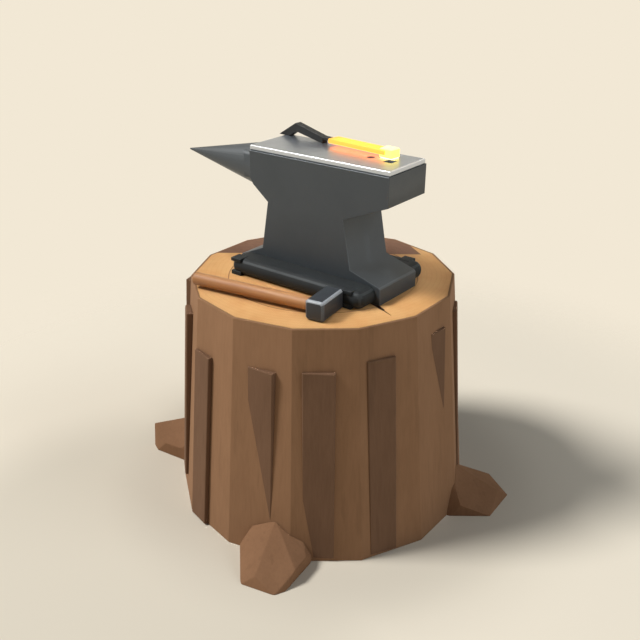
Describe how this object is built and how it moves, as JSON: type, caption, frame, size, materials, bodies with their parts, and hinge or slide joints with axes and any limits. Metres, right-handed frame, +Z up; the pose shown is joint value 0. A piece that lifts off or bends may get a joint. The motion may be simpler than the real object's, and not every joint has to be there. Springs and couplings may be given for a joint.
{
  "type": "anvil stand",
  "caption": "Barked log stand on root buttresses with an anvil clamped to its sawn top, a smith's hammer lying beside it and a bent bar with a glowing hot end on the face.",
  "frame": {"origin": "middle of the log's flat underside, on the floor", "axes": "+Z up; +X along the anvil towards its heel, so the horn points to -X; +Y away from the hammer, which lies on the -Y side"},
  "size_m": [0.8161, 0.8132, 0.8171],
  "materials": {
    "sawn_wood": "pale sawn end grain, faint rings, dry",
    "bark": "mid brown bark, dull",
    "root_bark": "mid brown root bark, dull",
    "bark_plate": "darker loose bark, dull",
    "anvil_iron": "dark grey scale, satin",
    "face_steel": "ground grey steel, bright worn edges",
    "hold_down_iron": "black iron, worn edges",
    "hammer_iron": "dark iron, lighter worn chamfers",
    "handle_wood": "oiled light hardwood",
    "white_hot_iron": "white-yellow hot iron",
    "yellow_hot_iron": "yellow hot iron",
    "dark_iron": "black forge scale"
  },
  "bodies": {
    "stand": {"log_wood": "sawn_wood", "bark_shell": "bark", "root_front": "root_bark", "root_heel_side": "root_bark", "root_back": "root_bark", "root_horn_side": "root_bark", "bark_plate_01": "bark_plate", "bark_plate_02": "bark_plate", "bark_plate_03": "bark_plate", "bark_plate_04": "bark_plate", "bark_plate_05": "bark_plate", "bark_plate_06": "bark_plate", "bark_plate_07": "bark_plate", "bark_plate_08": "bark_plate", "bark_plate_09": "bark_plate", "bark_plate_10": "bark_plate", "bark_plate_11": "bark_plate", "bark_plate_12": "bark_plate", "bark_plate_13": "bark_plate", "anvil_body": "anvil_iron", "face_plate": "face_steel", "anvil_horn": "anvil_iron", "base_flange_near": "hold_down_iron", "base_flange_far": "hold_down_iron", "clamp_plate_horn_near": "hold_down_iron", "bearing_plate_horn_near": "hold_down_iron", "lag_spike_horn_near": "hold_down_iron", "clamp_plate_heel_near": "hold_down_iron", "bearing_plate_heel_near": "hold_down_iron", "lag_spike_heel_near": "hold_down_iron", "clamp_plate_horn_far": "hold_down_iron", "bearing_plate_horn_far": "hold_down_iron", "lag_spike_horn_far": "hold_down_iron", "clamp_plate_heel_far": "hold_down_iron", "bearing_plate_heel_far": "hold_down_iron", "lag_spike_heel_far": "hold_down_iron"},
    "hammer": {"hammer_head": "hammer_iron", "hammer_handle": "handle_wood"},
    "iron": {"iron_hot_end": "white_hot_iron", "iron_hot_bar": "yellow_hot_iron", "iron_shank": "dark_iron"}
  },
  "joints": [
    {"name": "hammer_lift", "type": "slide", "parent": "stand", "child": "hammer", "axis": [0, 0, 1], "range_m": [0, 0.3]},
    {"name": "iron_lift", "type": "slide", "parent": "stand", "child": "iron", "axis": [0, 0, 1], "range_m": [0, 0.25]}
  ]
}
